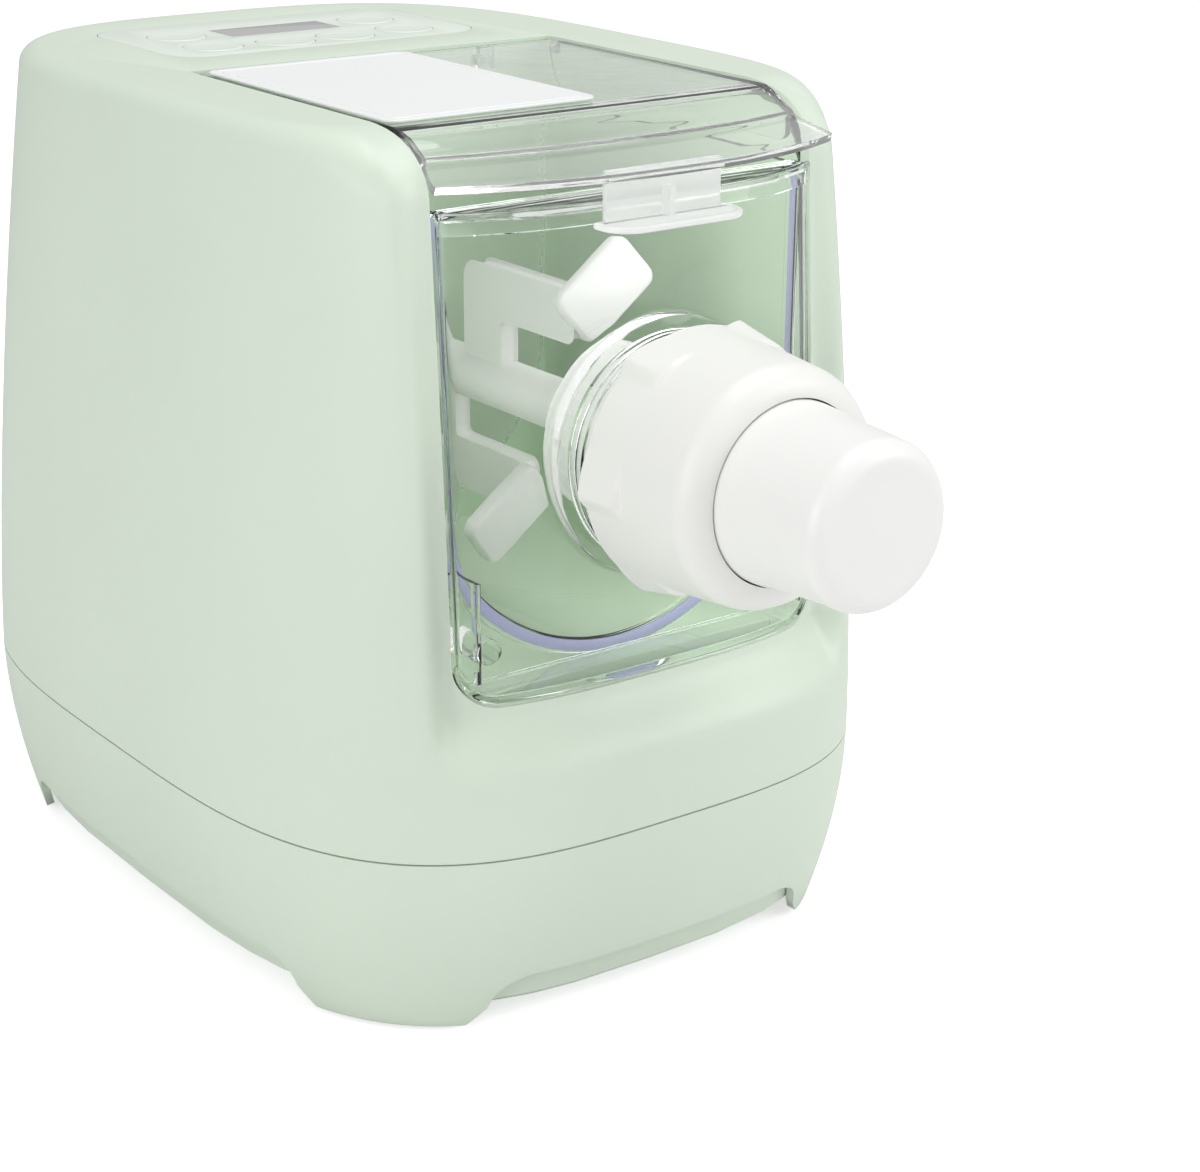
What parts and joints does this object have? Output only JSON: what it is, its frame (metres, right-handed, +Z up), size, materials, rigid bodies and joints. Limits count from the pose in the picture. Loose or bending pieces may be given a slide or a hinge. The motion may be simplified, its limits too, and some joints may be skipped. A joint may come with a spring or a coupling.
{
  "type": "electric pasta maker",
  "caption": "Upright kitchen pasta maker: clear mixing cup under a hinged visor lid, geared paddle and screw, ribbed ring nut and extruder head, deck with keys and display.",
  "frame": {"origin": "middle of the machine's overall box, on the surface it stands on", "axes": "+X to the viewer's right seen from the front, -Y out of the front along the extruder, +Z up"},
  "size_m": [0.2404, 0.4102, 0.2856],
  "materials": {
    "mint_plastic": "satin",
    "mint_inner": "satin",
    "panel_plastic": "satin",
    "clear_plastic": "clear, polished",
    "frosted_plastic": "frosted",
    "white_plastic": "satin",
    "label_film": "matt",
    "display_grey": "gloss",
    "dark_rubber": "matt",
    "violet_seal": "satin",
    "steel": "machined",
    "zinc_steel": "cast, matt",
    "bronze": "machined",
    "gear_nylon": "moulded",
    "circuit_board": "satin",
    "black_plastic": "satin"
  },
  "bodies": {
    "machine": {"upper_housing": "mint_plastic", "base_ring": "mint_plastic", "bottom_tray": "mint_plastic", "rubber_foot_front_left": "dark_rubber", "rubber_foot_front_right": "dark_rubber", "rubber_foot_rear_left": "dark_rubber", "rubber_foot_rear_right": "dark_rubber", "chamber_liner": "mint_inner", "mixing_cup": "clear_plastic", "shaft_seal": "dark_rubber", "cup_gasket": "violet_seal", "front_plate": "clear_plastic", "extrusion_barrel": "white_plastic", "gearbox_case": "zinc_steel", "gearbox_cover": "zinc_steel", "front_bush": "bronze", "rear_bush": "bronze", "cluster_axle": "steel", "gearbox_bracket": "zinc_steel", "motor_can": "zinc_steel", "motor_end_cap": "black_plastic", "stator_magnet": "black_plastic", "hinge_pin_left": "steel", "hinge_pin_right": "steel", "control_panel": "panel_plastic", "display_window": "display_grey", "lcd_module": "black_plastic", "control_board": "circuit_board", "power_board": "circuit_board", "safety_switch": "black_plastic", "cord_gland": "dark_rubber"},
    "lid": {"lid": "clear_plastic", "lid_label": "label_film", "lid_finger_tab": "frosted_plastic"},
    "mixer": {"output_gear": "steel", "output_shaft": "steel", "mixing_paddle": "white_plastic", "extruder_screw": "white_plastic"},
    "cluster": {"cluster_gear": "gear_nylon"},
    "rotor": {"motor_armature": "steel", "motor_pinion": "steel", "cooling_fan": "black_plastic"},
    "head": {"extruder_head": "white_plastic", "die_plate": "white_plastic"},
    "nut": {"ring_nut": "white_plastic"},
    "plunger": {"switch_plunger": "panel_plastic"},
    "key_rear_left": {"key_rear_left": "panel_plastic"},
    "key_rear_right": {"key_rear_right": "panel_plastic"},
    "key_front_left": {"key_front_left": "panel_plastic"},
    "key_front_right": {"key_front_right": "panel_plastic"},
    "key_middle_left": {"key_middle_left": "panel_plastic"},
    "key_middle_right": {"key_middle_right": "panel_plastic"}
  },
  "joints": [
    {"name": "lid_hinge", "type": "hinge", "parent": "machine", "child": "lid", "pos_m": [0, 0.0494, 0.2792], "axis": [-1, 0, 0], "range_deg": [0, 100]},
    {"name": "mixer_spin", "type": "hinge", "parent": "machine", "child": "mixer", "pos_m": [0, 0.0972, 0.1855], "axis": [0, -1, 0], "continuous": true},
    {"name": "cluster_spin", "type": "hinge", "parent": "machine", "child": "cluster", "pos_m": [0, 0.0809, 0.1355], "axis": [0, -1, 0], "continuous": true},
    {"name": "motor_spin", "type": "hinge", "parent": "machine", "child": "rotor", "pos_m": [0, 0.0804, 0.09925], "axis": [0, -1, 0], "continuous": true},
    {"name": "head_slide", "type": "slide", "parent": "machine", "child": "head", "axis": [0, -1, 0], "range_m": [0, 0.0091]},
    {"name": "nut_turn", "type": "hinge", "parent": "head", "child": "nut", "pos_m": [0, -0.1181, 0.1855], "axis": [0, -1, 0], "range_deg": [0, 270]},
    {"name": "plunger_press", "type": "slide", "parent": "machine", "child": "plunger", "axis": [0, 1, 0], "range_m": [0, 0.0015], "stiffness_N_per_m": 300, "springref_m": -0.002},
    {"name": "press_rear_left", "type": "slide", "parent": "machine", "child": "key_rear_left", "axis": [0, 0, -1], "range_m": [0, 0.0008], "stiffness_N_per_m": 800, "springref_m": -0.0015},
    {"name": "press_rear_right", "type": "slide", "parent": "machine", "child": "key_rear_right", "axis": [0, 0, -1], "range_m": [0, 0.0008], "stiffness_N_per_m": 800, "springref_m": -0.0015},
    {"name": "press_front_left", "type": "slide", "parent": "machine", "child": "key_front_left", "axis": [0, 0, -1], "range_m": [0, 0.0008], "stiffness_N_per_m": 800, "springref_m": -0.0015},
    {"name": "press_front_right", "type": "slide", "parent": "machine", "child": "key_front_right", "axis": [0, 0, -1], "range_m": [0, 0.0008], "stiffness_N_per_m": 800, "springref_m": -0.0015},
    {"name": "press_middle_left", "type": "slide", "parent": "machine", "child": "key_middle_left", "axis": [0, 0, -1], "range_m": [0, 0.0008], "stiffness_N_per_m": 800, "springref_m": -0.0015},
    {"name": "press_middle_right", "type": "slide", "parent": "machine", "child": "key_middle_right", "axis": [0, 0, -1], "range_m": [0, 0.0008], "stiffness_N_per_m": 800, "springref_m": -0.0015}
  ],
  "couplings": [
    {"joint": "cluster_spin", "follows": "mixer_spin", "ratio": -4},
    {"joint": "motor_spin", "follows": "mixer_spin", "ratio": 19.2},
    {"joint": "head_slide", "follows": "nut_turn", "m_per_rad": 0.0019099}
  ]
}
